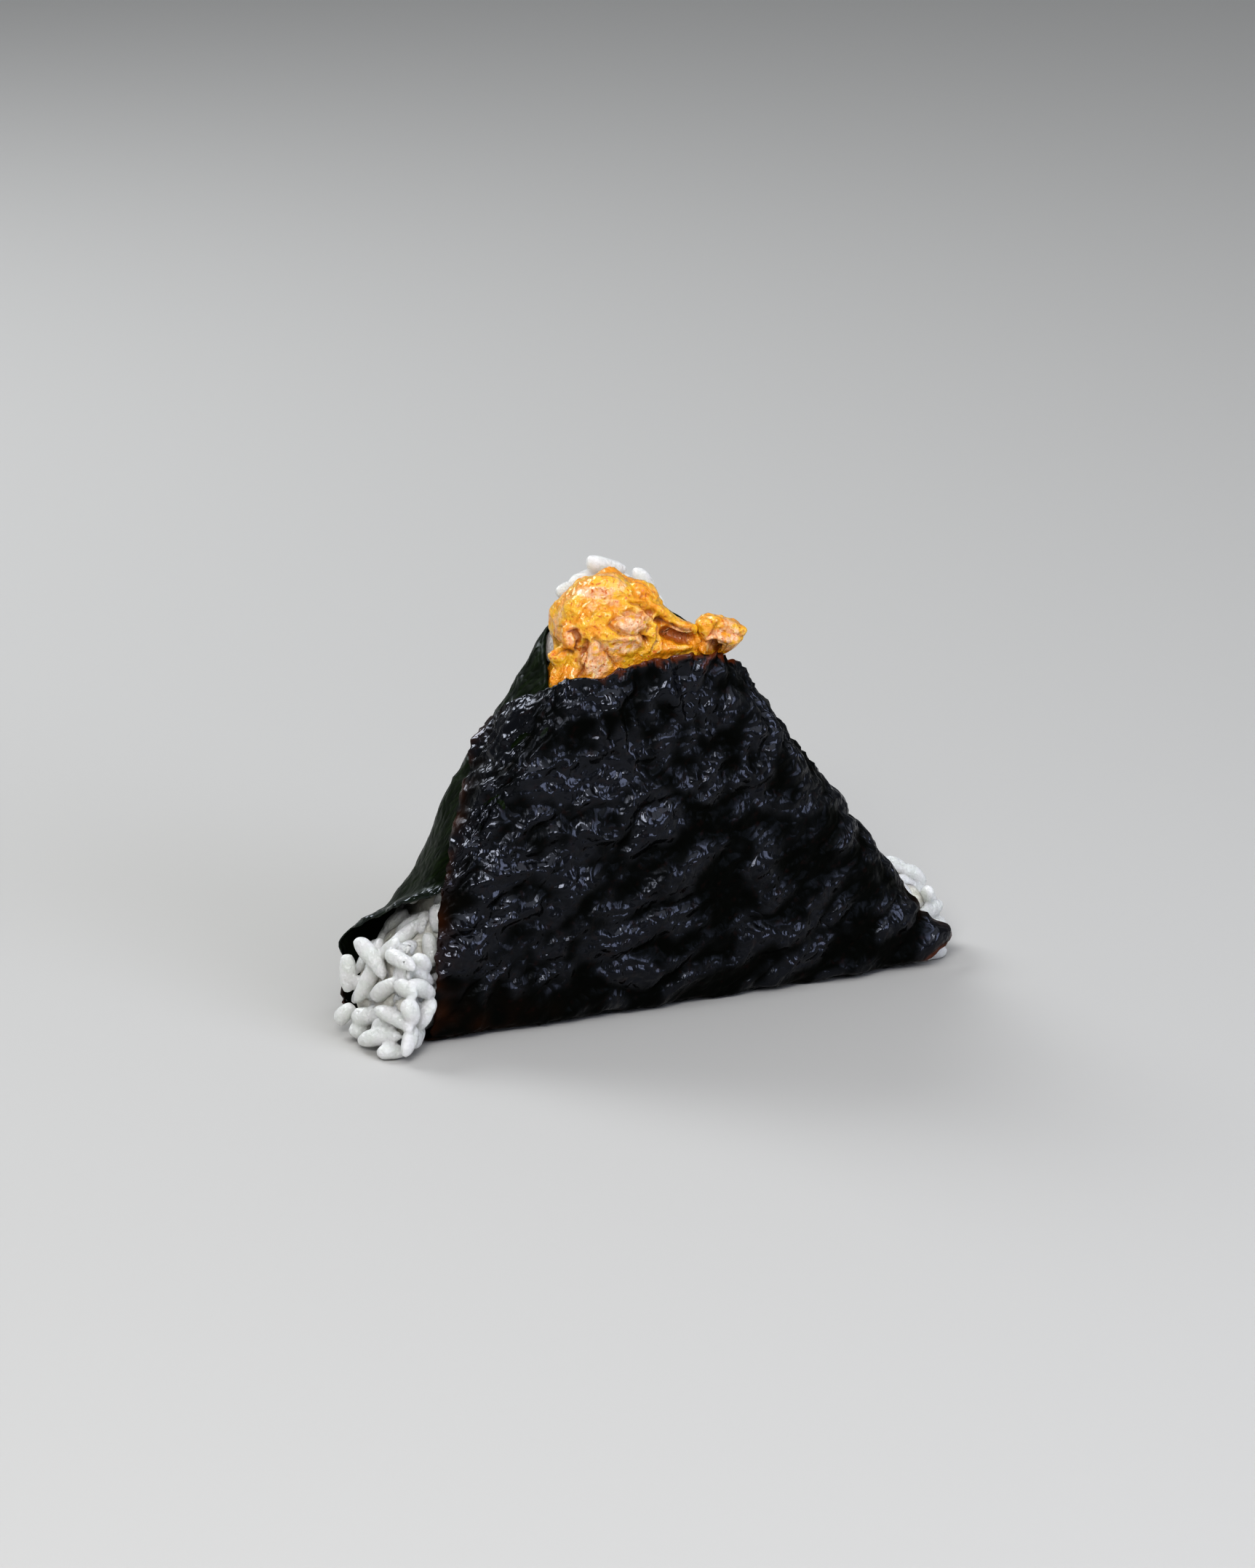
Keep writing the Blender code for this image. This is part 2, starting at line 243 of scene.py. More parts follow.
FRONT = Face((0, -1, FRONT_LEAN), (0, FRONT_FOOT, 0))
BACK = Face((0, 1, BACK_LEAN), (0, BACK_FOOT, 0))
BOTTOM = Face((0, 0, -1), (0, 0, 0))
LEFT = Face((-math.sin(LEFT_SLOPE), 0.05, math.cos(LEFT_SLOPE)), (LEFT_FOOT, 0, 0))
RIGHT = Face((math.sin(RIGHT_SLOPE), 0, math.cos(RIGHT_SLOPE)), (RIGHT_FOOT, 0, 0))


def belly(points):
    """How far the two broad faces swell in their middle."""
    inward = (-LEFT.distance(points), -RIGHT.distance(points), points[:, 2])
    swell = np.full(len(points), BELLY)
    for depth, reach in zip(inward, BELLY_REACHES):
        swell *= 1 - np.exp(-np.clip(depth, 0, None) / reach)
    return swell


def slope_swell(points):
    """The share of its belly that a slope has at each height: the whole of it half way up."""
    return np.exp(-(((points[:, 2] - SLOPE_BELLY_HEIGHT) / SLOPE_BELLY_SPREAD) ** 2))


def rounded_meeting(distances, normals, rounding):
    """Joins surfaces, each given by its signed distances and normals, with rounded edges."""
    normals = [np.broadcast_to(normal, (len(distances[0]), 3)) for normal in normals]
    reaches = [np.clip(distance + rounding, 0, None) for distance in distances]
    length = np.sqrt(sum(reach**2 for reach in reaches))
    weights = [reach / np.clip(length, 1e-9, None) for reach in reaches]
    gradient = sum(weight[:, None] * normal for weight, normal in zip(weights, normals))
    nearest = np.maximum.reduce(distances)
    deep = nearest <= -rounding
    for distance, normal in zip(distances, normals):
        closest = deep & (distance == nearest)
        gradient[closest] = normal[closest]
    return np.where(deep, nearest, length - rounding), gradient


def distance_to_prism(points):
    """Signed distance to the rounded prism, negative inside, and its gradient."""
    swell = belly(points)
    sides = (
        FRONT.distance(points) - swell,
        BACK.distance(points) - swell,
        LEFT.distance(points) - LEFT_BELLY * slope_swell(points),
        RIGHT.distance(points) - RIGHT_BELLY * slope_swell(points),
    )
    normals = (FRONT.normal, BACK.normal, LEFT.normal, RIGHT.normal)
    upright, slope = rounded_meeting(sides, normals, UPRIGHT_ROUNDING)
    whole = (upright, BOTTOM.distance(points))
    return rounded_meeting(whole, (slope, BOTTOM.normal), BASE_ROUNDING)


def turn_about_crease(points, face, following):
    """Turns points of one face's plane about the crease between it and the following face."""
    axis = np.cross(face.normal, following.normal)
    angle = math.atan2(np.linalg.norm(axis), face.normal @ following.normal)
    rotation = np.array(Matrix.Rotation(angle, 3, Vector(axis)))
    planes = np.array((face.normal, following.normal, axis))
    pivot = np.linalg.solve(planes, np.array((face.offset, following.offset, 0.0)))
    return (points - pivot) @ rotation.T + pivot


def fold(points, face, following):
    """Folds what runs past the edge of a face over onto the next face, and on from there."""
    if not following:
        return points
    past = following[0].distance(points) > 0
    if past.any():
        turned = turn_about_crease(points[past], face, following[0])
        points = points.copy()
        points[past] = fold(turned, following[0], following[1:])
    return points


def lay_sheet(across, along):
    """Puts points of the flat sheet on the prism. along is below 0 on the front panel, runs from 0 to
    BASE_STRIP under the base, and goes on from there up the back panel."""
    under_base = np.clip(along, 0, BASE_STRIP)
    points = np.column_stack((across - SHEET_TURN * along, FRONT_FOOT + under_base, 0 * across))
    up_front = np.cross((1, 0, 0), FRONT.normal) * -1
    up_back = np.cross((1, 0, 0), BACK.normal)
    front = along < 0
    back = along > BASE_STRIP
    points[front] -= along[front, None] * up_front
    points[back] += (along[back, None] - BASE_STRIP) * up_back
    for side in (LEFT, RIGHT):
        points[front] = fold(points[front], FRONT, (side, BACK))
        points[back] = fold(points[back], BACK, (side, FRONT))
    return points


def layer_depth(along):
    """The back panel and its flaps lie under the front ones, one layer further in."""
    return -LAYER_STEP * smooth_step(along, BASE_STRIP, BASE_STRIP + LAYER_RUN)


def sheet_edges(along):
    """Where the sheet's left and right edges are, across the flat sheet."""
    wider = BACK_WIDENING * smooth_step(along, 0, BASE_STRIP)
    awning = AWNING_WIDENING * smooth_step(along - BASE_STRIP, *AWNING_CLIMB)
    narrower = SHEET_NARROWING * smooth_step(along, 0, BASE_STRIP)
    tear = TEAR_DEPTH * np.exp(-(((along + TEAR_HEIGHT) / TEAR_REACH) ** 2))
    trim = CORNER_TRIM * smooth_step(along, *TRIM_GROWS) * (1 - smooth_step(along, *TRIM_FADES))
    return -wider - awning, SHEET_WIDTH - narrower - tear - trim


def shape_sheet(points, along, from_left):
    """Rounds the folded sheet over the rice, then shapes the awning over the bare rice on its left.
    from_left is each point's distance from the sheet's left edge."""
    depth = layer_depth(along)
    for _ in range(ROUNDING_STEPS):
        distance, gradient = distance_to_prism(points)
        step = (distance - depth) / np.clip((gradient**2).sum(axis=1), 0.3, None)
        points -= step[:, None] * gradient
    climb = along - BASE_STRIP
    on_back = smooth_step(climb, 0, 6)
    at_rim = smooth_step(climb, *RIM_STARTS) * (1 - smooth_step(climb, *RIM_ENDS))
    curl = RIM_CURL * np.exp(-((from_left / RIM_REACH) ** 2)) * at_rim
    points = points + curl[:, None] * LEFT.normal
    tip = bump(points, TIP_PLACE, TIP_RADII) * on_back
    points = points + tip[:, None] * np.array(TIP_SHIFT)
    hollow = HOLLOW_DEPTH * bump(points, HOLLOW_PLACE, HOLLOW_RADII) * on_back
    return points - hollow[:, None] * LEFT.normal


# ---------------------------------------------------------------- materials


class Look:
    """A node material, with the few kinds of node that the pieces' looks are made of. Sizes and depths
    are in millimetres."""

    def __init__(self, name):
        self.material = bpy.data.materials.new(name)
        self.material.use_nodes = True
        self.tree = self.material.node_tree
        self.inputs = self.tree.nodes["Principled BSDF"].inputs

    def node(self, kind, **values):
        """A node, with its properties or its inputs set by name."""
        node = self.tree.nodes.new(kind)
        for name, value in values.items():
            if hasattr(node, name):
                setattr(node, name, value)
            else:
                node.inputs[name].default_value = value
        return node

    def join(self, output, socket):
        self.tree.links.new(output, socket)

    def attribute(self, name):
        return self.node("ShaderNodeAttribute", attribute_name=name).outputs["Fac"]

    def noise(self, place, size, detail=4.0, stretch=(1, 1, 1), turn=0.0):
        """Noise whose features are about that size. The coordinates are in metres."""
        mapping = self.node("ShaderNodeMapping", Scale=stretch, Rotation=(0, 0, turn))
        self.join(place, mapping.inputs["Vector"])
        texture = self.node("ShaderNodeTexNoise", Scale=1 / (size * MM), Detail=detail)
        self.join(mapping.outputs["Vector"], texture.inputs["Vector"])
        return texture.outputs["Fac"]

    def creased_noise(self, place, size, **settings):
        """Noise that runs into sharp valleys, as crumpled paper does. It lies between 0 and 1."""
        centred = self.node("ShaderNodeMath", operation="MULTIPLY_ADD")
        centred.inputs[1].default_value = 2
        centred.inputs[2].default_value = -1
        self.join(self.noise(place, size, **settings), centred.inputs[0])
        folded = self.node("ShaderNodeMath", operation="ABSOLUTE")
        self.join(centred.outputs["Value"], folded.inputs[0])
        return folded.outputs["Value"]

    def product(self, first, second):
        node = self.node("ShaderNodeMath", operation="MULTIPLY")
        self.join(first, node.inputs[0])
        self.join(second, node.inputs[1])
        return node.outputs["Value"]

    def step(self, value, low, high, to_low=0.0, to_high=1.0):
        """A smooth step from to_low to to_high, as the value goes from low to high."""
        node = self.node("ShaderNodeMapRange", interpolation_type="SMOOTHSTEP")
        for name, number in zip(("From Min", "From Max", "To Min", "To Max"), (low, high, to_low, to_high)):
            node.inputs[name].default_value = number
        self.join(value, node.inputs["Value"])
        return node.outputs["Result"]

    def mix(self, share, first, second):
        """Mixes two colours, each a tuple or a socket."""
        node = self.node("ShaderNodeMix", data_type="RGBA")
        self.join(share, node.inputs["Factor"])
        for name, colour in zip(("A", "B"), (first, second)):
            socket = next(s for s in node.inputs if s.name == name and s.type == "RGBA")
            if isinstance(colour, tuple):
                socket.default_value = (*colour, 1)
            else:
                self.join(colour, socket)
        return next(s for s in node.outputs if s.type == "RGBA")

    def bump(self, height, depth, below=None):
        """A bump of that depth, on top of another bump if one is given."""
        node = self.node("ShaderNodeBump", Strength=1.0, Distance=depth * MM)
        self.join(height, node.inputs["Height"])
        if below is not None:
            self.join(below, node.inputs["Normal"])
        return node.outputs["Normal"]


# Colours of the nori: where it is dull, glossy or rusty, its olive back panel (its own dark green, painted
# lighter as sheen where the slopes catch light at a grazing angle), its cut edges, and the sauce on its top
# edge.
NORI_DULL = (0.0022, 0.0028, 0.0012)
NORI_GLOSSY = (0.0020, 0.0022, 0.0028)
NORI_RUSTY = (0.010, 0.0045, 0.003)
NORI_DEEP_GREEN = (0.0045, 0.0085, 0.0016)
NORI_PALE_GREEN = (0.010, 0.019, 0.0030)
NORI_EDGE = (0.050, 0.016, 0.004)
NORI_STAIN = (0.13, 0.032, 0.006)
NORI_TINT = (0.82, 0.86, 1.0, 1)

# The roughness and the specular level of the nori, each where it is dull and where it is glossy, and the
# depths of its fine relief.
NORI_ROUGHNESS = (0.38, 0.20)
NORI_SPECULAR = (0.08, 0.60)
CRINKLE_DEPTH = 0.60
PLEAT_DEPTH = 0.12


def nori_material():
    """Nearly black seaweed, olive where it is smooth, with a blue-grey gloss on its wrinkles."""
    look = Look("nori")
    flat = look.node("ShaderNodeUVMap", uv_map="flat").outputs["UV"]
    gloss = look.attribute("gloss")
    speckle = look.noise(flat, 1.5, detail=5)
    fibres = look.noise(flat, 1.0, detail=5, stretch=(1, 0.25, 1), turn=0.5)
    crinkle = look.creased_noise(flat, 2.2, detail=0.7)
    pleats = look.creased_noise(flat, 1.1, detail=1, stretch=(1, 0.5, 1), turn=-0.5)
    crisp = look.step(gloss, 0.0, 0.8, 0.35, 1.0)
    colour = look.mix(gloss, NORI_DULL, NORI_GLOSSY)
    colour = look.mix(look.step(speckle, 0.56, 0.72), colour, NORI_RUSTY)
    green = look.mix(look.step(fibres, 0.4, 0.7), NORI_DEEP_GREEN, NORI_PALE_GREEN)
    # The back panel: the nori's own olive green, painted lighter as sheen where the slopes catch grazing
    # light.
    colour = look.mix(look.attribute("olive_and_painted_sheen"), colour, green)
    colour = look.mix(look.attribute("edge"), colour, NORI_EDGE)
    colour = look.mix(look.attribute("stain"), colour, NORI_STAIN)
    look.join(colour, look.inputs["Base Color"])
    look.join(look.step(gloss, 0.0, 1.0, *NORI_ROUGHNESS), look.inputs["Roughness"])
    look.join(look.step(gloss, 0.0, 1.0, *NORI_SPECULAR), look.inputs["Specular IOR Level"])
    look.inputs["Specular Tint"].default_value = NORI_TINT
    relief = look.bump(look.product(crinkle, crisp), CRINKLE_DEPTH)
    relief = look.bump(look.product(pleats, crisp), PLEAT_DEPTH, below=relief)
    look.join(relief, look.inputs["Normal"])
    return look.material


# Colours of the rice: of the loose grains, and of the core between them, painted warmer and a little darker
# as the shade that falls between grains; and the share of a colour that is left where it turns faintly
# green.
LOOSE_RICE = (0.615, 0.605, 0.595)
SHADED_CORE_RICE = (0.62, 0.59, 0.53)
GREENISH = (0.97, 1.0, 0.97)


def rice_material(name, colour):
    """Moist cooked rice: white, translucent, faintly green in places, with a thin wet gloss."""
    look = Look(name)
    place = look.node("ShaderNodeTexCoord").outputs["Object"]
    green = tuple(part * share for part, share in zip(colour, GREENISH))
    cloud = look.step(look.noise(place, 2.4, detail=2), 0.35, 0.65)
    look.join(look.mix(cloud, green, colour), look.inputs["Base Color"])
    look.inputs["Roughness"].default_value = 0.28
    look.inputs["Specular IOR Level"].default_value = 0.45
    look.inputs["Subsurface Weight"].default_value = 1.0
    look.inputs["Subsurface Radius"].default_value = (1.0, 1.0, 0.95)
    look.inputs["Subsurface Scale"].default_value = 4.0 * MM
    relief = look.bump(look.creased_noise(place, 1.5, detail=1), 0.22)
    relief = look.bump(look.noise(place, 0.7, detail=2), 0.30, below=relief)
    look.join(relief, look.inputs["Normal"])
    return look.material


# Colours of the salmon: two of the sauce, two of the bare flesh, pale specks, rusty dots, and the painted
# shade of deep folds.
SAUCE_ORANGE = (0.78, 0.33, 0.016)
SAUCE_YELLOW = (0.82, 0.47, 0.030)
FLESH_DEEP = (0.82, 0.42, 0.20)
FLESH_PALE = (0.86, 0.57, 0.36)
SPECKS = (0.88, 0.66, 0.28)
RUST_DOTS = (0.62, 0.17, 0.014)
PAINTED_FOLD_SHADE = (0.42, 0.13, 0.014)


def salmon_material():
    """Flaked salmon in a glossy sauce: yellow-orange sauce, paler flesh, and painted rust-brown shade in
    the folds.
    """
    look = Look("salmon")
    place = look.node("ShaderNodeTexCoord").outputs["Object"]
    cloud = look.noise(place, 3.0, detail=4)
    fine = look.noise(place, 0.8, detail=5)
    fibres = look.noise(place, 0.7, detail=4, stretch=(1, 1, 0.3))
    sauce = look.mix(look.step(cloud, 0.42, 0.58), SAUCE_ORANGE, SAUCE_YELLOW)
    flesh = look.mix(look.step(fibres, 0.4, 0.6), FLESH_DEEP, FLESH_PALE)
    colour = look.mix(look.attribute("flesh"), sauce, flesh)
    colour = look.mix(look.step(fine, 0.58, 0.72), colour, SPECKS)
    rust = look.noise(place, 0.55, detail=3)
    colour = look.mix(look.step(rust, 0.60, 0.68), colour, RUST_DOTS)
    # Painted shade: darker rust-brown where the surface lies deep between its neighbours and in the folds.
    colour = look.mix(look.attribute("painted_fold_shade"), colour, PAINTED_FOLD_SHADE)
    look.join(colour, look.inputs["Base Color"])
    look.inputs["Roughness"].default_value = 0.32
    look.inputs["Subsurface Weight"].default_value = 0.25
    look.inputs["Subsurface Radius"].default_value = (1.0, 0.35, 0.12)
    look.inputs["Subsurface Scale"].default_value = 0.8 * MM
    look.inputs["Coat Weight"].default_value = 0.7
    look.inputs["Coat Roughness"].default_value = 0.1
    relief = look.bump(fine, 0.40)
    relief = look.bump(fibres, 0.15, below=relief)
    relief = look.bump(look.noise(place, 0.3, detail=3), 0.10, below=relief)
    look.join(relief, look.inputs["Normal"])
    return look.material


# ---------------------------------------------------------------- nori


def sheet_noise(across, along, size, seed, degrees=0.0, stretch=1.0):
    """Noise on the flat sheet. Its features are about size millimetres across, and can be stretched
    along a direction turned from the sheet's width."""
    angle = math.radians(degrees)
    run = (across * math.cos(angle) + along * math.sin(angle)) / stretch
    rise = along * math.cos(angle) - across * math.sin(angle)
    return Noise(seed)(np.column_stack((run, rise, np.zeros(len(run)))) / size)


def wrinkles(across, along):
    """Relief of the sheet in millimetres, and how glossy each point of it is. The relief is boldest
    towards the left and under the top edge, and its noises are stretched along the sheet's folds."""
    up = -along
    run = across + 2.2 * sheet_noise(across, along, 7.0, 21)
    rise = along + 2.2 * sheet_noise(across, along, 7.0, 22)
    left = smooth_step(-across, -48, -14) * smooth_step(up, -2, 14)
    under_top = smooth_step(up, 30, 42) * smooth_step(across, 20, 32)
    bold = 0.9 + 0.75 * left + 0.25 * under_top
    plates = np.abs(sheet_noise(run, rise, 6.5, 23, degrees=-26, stretch=2.0))
    ridges = np.abs(sheet_noise(run, rise, 3.0, 25, degrees=-32, stretch=2.2))
    hanging = np.abs(sheet_noise(run, rise, 3.4, 26, degrees=82, stretch=2.6))
    pleats = np.abs(sheet_noise(run, rise, 1.6, 27, degrees=-20, stretch=1.5))
    swell = 1.7 * plates * (1 - 0.6 * under_top) + 1.2 * hanging * under_top
    dents = 0.5 * sheet_noise(across, along, 13.0, 29)
    height = bold * (dents + swell - 0.6 + 0.7 * (0.35 - ridges)) + 0.38 * pleats
    patches = sheet_noise(across, along, 9.0, 41) + 0.6 * sheet_noise(across, along, 3.0, 42)
    dull_foot = 0.25 * (1 - smooth_step(up, 0, 14))
    level = 0.8 * (swell - 0.5) + 0.8 * patches + 0.6 * (bold - 1.0) - dull_foot
    return height, smooth_step(level, -0.55, 0.55)


def flat_grid():
    """The flat sheet's points: how far across, as a share of its width, and how far along."""
    front = np.linspace(-FRONT_HEIGHT, 0, FRONT_ROWS)
    base = np.linspace(0, BASE_STRIP, BASE_ROWS)[1:]
    back = np.linspace(BASE_STRIP, BASE_STRIP + BACK_HEIGHT, BACK_ROWS)[1:]
    rows = np.concatenate((front, base, back))
    share, along = np.meshgrid(np.linspace(0, 1, COLUMNS), rows)
    return share.ravel(), along.ravel(), len(rows)


def grid_faces(rows, columns):
    """The four corners of each face of a grid of points."""
    corner = np.arange((rows - 1) * columns).reshape(rows - 1, columns)[:, :-1].ravel()
    return np.column_stack((corner, corner + columns, corner + columns + 1, corner + 1))


def grid_normals(points, rows, columns):
    net = points.reshape(rows, columns, 3)
    normals = np.cross(np.gradient(net, axis=1), np.gradient(net, axis=0)).reshape(-1, 3)
    return normals / np.clip(np.linalg.norm(normals, axis=1), 1e-9, None)[:, None]


def add_flat_uv(sheet, across, along):
    """A UV map in metres on the flat sheet, for the materials' noises."""
    layer = sheet.data.uv_layers.new(name="flat")
    corners = np.empty(len(sheet.data.loops), int)
    sheet.data.loops.foreach_get("vertex_index", corners)
    layer.data.foreach_set("uv", (np.column_stack((across, along)) * MM)[corners].ravel())


def make_nori():
    """The folded sheet: ragged at its edges, wrinkled, and with real thickness."""
    share, along, rows = flat_grid()
    left, right = sheet_edges(along)
    from_left = share * (right - left)
    across = left + from_left
    from_side = np.minimum(from_left, right - across)
    from_top = along + FRONT_HEIGHT
    ragged = 0.6 * sheet_noise(across, along, 1.5, 51) + 0.4 * sheet_noise(across, along, 4.0, 52)
    across = across + ragged * np.exp(-from_side / 1.5)
    along = along + 0.9 * ragged * np.exp(-from_top / 1.5)
    along = along - np.interp(across, *zip(*TOP_EDGE)) * np.exp(-from_top / 4)
    points = shape_sheet(lay_sheet(across, along), along, from_left)
    normals = -grid_normals(points, rows, COLUMNS)
    height, gloss = wrinkles(across, along)
    back = smooth_step(along, 0, BASE_STRIP)
    height = np.clip(height, -0.8 + 0.5 * back, 1.5 - back)
    points = points + normals * (height * (1 - 0.5 * back))[:, None]
    points = points + bump(points, CORNER_PLACE, CORNER_RADII)[:, None] * np.array(CORNER_SHIFT)
    points[:, 2] = np.maximum(points[:, 2], 0.0)
    sheet = make_object("nori_sheet", points, grid_faces(rows, COLUMNS), nori_material())
    add_flat_uv(sheet, across, along)
    colour_sheet(sheet, across, along, from_side, from_top)
    rim = np.exp(-((from_left / 2.0) ** 2)) * back
    set_attribute(sheet, "gloss", np.maximum(gloss * (1 - 0.35 * back), 0.95 * rim))
    shell = sheet.modifiers.new("thickness", "SOLIDIFY")
    shell.thickness = SHEET_THICKNESS * MM
    shell.offset = -1
    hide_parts("nori_wrap")
    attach(sheet, "root")
    return sheet


def colour_sheet(sheet, across, along, from_side, from_top):
    """Marks the olive back panel, its own dark green painted lighter as sheen where the slopes catch
    grazing light, the browned cut edges, the sauce at the top edge and the browned tear at the lower right
    corner."""
    patchy = 0.5 + 1.1 * sheet_noise(across, along, 3.2, 53)
    low = np.exp(-((along / 5) ** 2)) * smooth_step(-across, -30, -2)
    at_rim = smooth_step(along, BASE_STRIP, BASE_STRIP + 8) * (across < 0.5 * SHEET_WIDTH)
    brown = np.exp(-np.clip(from_side, 0, None) / 1.2) * (1 - at_rim) + 0.4 * low
    set_attribute(sheet, "edge", np.clip(brown * patchy, 0, 1))
    # Painted sheen: the back panel is made a lighter olive, as where the slopes catch light at a grazing
    # angle.
    set_attribute(sheet, "olive_and_painted_sheen", smooth_step(along, 10, 40))
    beside = smooth_step(across, 24, 30) * smooth_step(-across, -58, -50)
    blotches = sheet_noise(across, along, 1.6, 54) + 0.5 * sheet_noise(across, along, 0.7, 55)
    reach = np.exp(-np.clip(from_top - 0.3, 0, None) / 1.5)
    stain = smooth_step(reach + 0.9 * blotches, 0.75, 0.95) * reach * beside
    right_corner = np.exp(-(((along + 3) / 4) ** 2)) * (across > 60)
    torn = np.exp(-np.clip(from_side, 0, None) / 1.8) * right_corner
    scorch = 0.6 * smooth_step(torn + 0.5 * blotches, 0.3, 0.6) * smooth_step(torn, 0.1, 0.5)
    set_attribute(sheet, "stain", np.maximum(stain, scorch))


# ---------------------------------------------------------------- rice

# The grains that show most, from tip to tip: those of the left end, from the back of the heap to the
# front of it, those of the right end, and those at the apex.
SHOWN_GRAINS = (
    ((-0.5, 11.5, 14.0), (3.0, 7.5, 19.0)),
    ((3.2, 7.5, 19.5), (1.2, 4.5, 16.0)),
    ((3.6, 4.5, 21.5), (2.6, 2.5, 17.0)),
    ((-4.5, 1.5, 13.0), (-4.5, -2.5, 11.0)),
    ((-5.8, 0.0, 9.0), (-4.5, -4.5, 7.0)),
    ((-7.4, 5.0, 6.0), (-7.0, 1.0, 3.5)),
    ((-9.0, 1.5, 4.0), (-6.5, -3.0, 4.5)),
    ((-8.4, 12.5, 12.5), (-9.2, 10.5, 6.0)),
    ((-11.8, 9.5, 1.8), (-9.2, 8.0, 5.5)),
    ((-11.2, 4.5, 1.4), (-8.0, 5.5, 3.0)),
    ((-10.5, -3.5, 1.3), (-5.8, -5.2, 1.3)),
    ((-2.2, -1.8, 4.0), (-4.8, -4.8, 1.5)),
    ((-4.0, 7.0, 13.5), (2.0, 6.5, 18.5)),
    ((-4.4, 1.0, 14.7), (-0.4, 4.2, 15.8)),
    ((1.3, 3.0, 17.5), (0.8, 0.4, 12.0)),
    ((-5.8, 3.4, 15.0), (-3.5, -3.2, 13.9)),
    ((-8.2, 9.5, 16.0), (-6.2, 2.2, 11.0)),
    ((-4.6, -0.4, 13.6), (0.9, -0.4, 9.8)),
    ((-2.8, -0.8, 15.4), (0.4, -0.2, 12.0)),
    ((-8.2, 3.6, 7.4), (-5.6, -0.8, 11.8)),
    ((-6.2, -1.0, 11.2), (-4.2, -5.4, 10.4)),
    ((-6.4, 5.4, 12.8), (-9.4, 7.4, 5.2)),
    ((-5.4, -3.8, 12.0), (0.2, -2.4, 8.8)),
    ((-0.2, -2.4, 8.6), (-3.6, -3.8, 3.8)),
    ((-6.0, -5.0, 10.0), (-4.8, -5.8, 5.6)),
    ((-10.4, 6.4, 4.0), (-7.6, 2.6, 4.6)),
    ((-8.6, 1.2, 7.0), (-5.4, -7.0, 5.4)),
    ((-4.6, -4.8, 5.6), (-7.4, -7.4, 1.2)),
    ((-11.2, 2.2, 1.6), (-6.6, -5.0, 4.0)),
    ((87.4, 12.0, 14.6), (93.0, 12.0, 12.3)),
    ((90.8, 11.5, 13.2), (96.3, 12.0, 9.6)),
    ((92.0, 11.0, 9.4), (97.8, 11.0, 6.8)),
    ((92.0, 11.0, 4.4), (98.2, 11.0, 5.0)),
    ((88.4, 9.5, 12.2), (94.4, 9.5, 8.8)),
    ((91.6, 8.5, 6.4), (96.8, 9.0, 2.6)),
    ((90.0, 1.8, 1.2), (94.8, 2.0, 1.1)),
    ((87.0, 1.5, 1.2), (92.0, 1.3, 1.1)),
    ((34.0, 15.5, 71.0), (42.0, 15.5, 68.5)),
    ((31.4, 15.0, 67.4), (37.5, 16.5, 68.4)),
    ((28.6, 14.5, 66.4), (34.5, 15.5, 67.4)),
    ((42.8, 15.5, 68.8), (46.9, 15.5, 64.2)),
    ((46.6, 17.0, 63.4), (49.2, 16.5, 60.8)),
)

# The broad side of those grains faces this way.
BROAD_SIDE = unit(-0.42, -0.85, 0.30)

# The other grains keep behind an upright plane, below a height and so far inside the rice ball.
HEAP_SIDE = Face((-0.9, 0.44, 0), (LEFT_FOOT, 0, 0))
HEAP_TOP = 66.5
GRAIN_INSET = 0.1

# Their layers: depth below the rice ball's surface, least distance between grains and number of tries.
GRAIN_LAYERS = ((0.9, 2.0, 2200), (2.3, 1.7, 2200))

# The core under the grains: how far it keeps below the rice ball's surface, and the height and size of
# its relief.
CORE_DEPTH = 1.5
CORE_RELIEF = 0.5
CORE_RELIEF_SIZE = 2.4


def copy_of_node(node, name, material):
    """A new object with the mesh of a CAD node."""
    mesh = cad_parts[node].data.copy()
    mesh.materials.clear()
    mesh.materials.append(material)
    return new_object(name, mesh)


def voxel_remesh(obj, size):
    """Melts the closed surfaces of a mesh into one skin, made of cells of that size."""
    modifier = obj.modifiers.new("remesh", "REMESH")
    modifier.mode = "VOXEL"
    modifier.voxel_size = size * MM
    apply_modifiers(obj)


def relax(obj, factor, repeats):
    modifier = obj.modifiers.new("relax", "SMOOTH")
    modifier.factor = factor
    modifier.iterations = repeats
    apply_modifiers(obj)


def make_core():
    """The rice below the loose grains, with relief of about the size of a grain."""
    # The core's colour is painted warm shade, for the gaps between the grains.
    core = copy_of_node("rice_ball", "rice_core", rice_material("rice_core", SHADED_CORE_RICE))
    voxel_remesh(core, CORE_CELL)
    relax(core, 0.5, 14)
    points, normals = mesh_points(core), mesh_normals(core)
    relief = Noise(61)(points / CORE_RELIEF_SIZE) * CORE_RELIEF - CORE_DEPTH
    set_points(core, points + normals * relief[:, None])
    core.data.shade_smooth()
    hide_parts("rice_ball")
    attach(core, "root")


def grain_template(rings=17, segments=16):
    """Points of one straight grain along X, of unit half length, and its faces."""
    points = [(-1.0, 0.0, 0.0)]
    for ring in range(1, rings):
        t = -math.cos(math.pi * ring / rings)
        # Blunter at its ends than an ellipse, and slimmer towards one of them.
        girth = (1 - abs(t) ** 2.6) ** 0.62 * (1 - 0.17 * t)
        for segment in range(segments):
            angle = math.tau * segment / segments
            points.append((t, girth * math.cos(angle), girth * math.sin(angle)))
    points.append((1.0, 0.0, 0.0))
    faces = []
    last = len(points) - 1
    for segment in range(segments):
        following = (segment + 1) % segments
        faces.append((0, 1 + following, 1 + segment))
        end = last - segments
        faces.append((last, end + segment, end + following))
        for ring in range(rings - 2):
            a = 1 + ring * segments
            b = a + segments
            faces.append((a + segment, a + following, b + following, b + segment))
    return np.array(points), faces


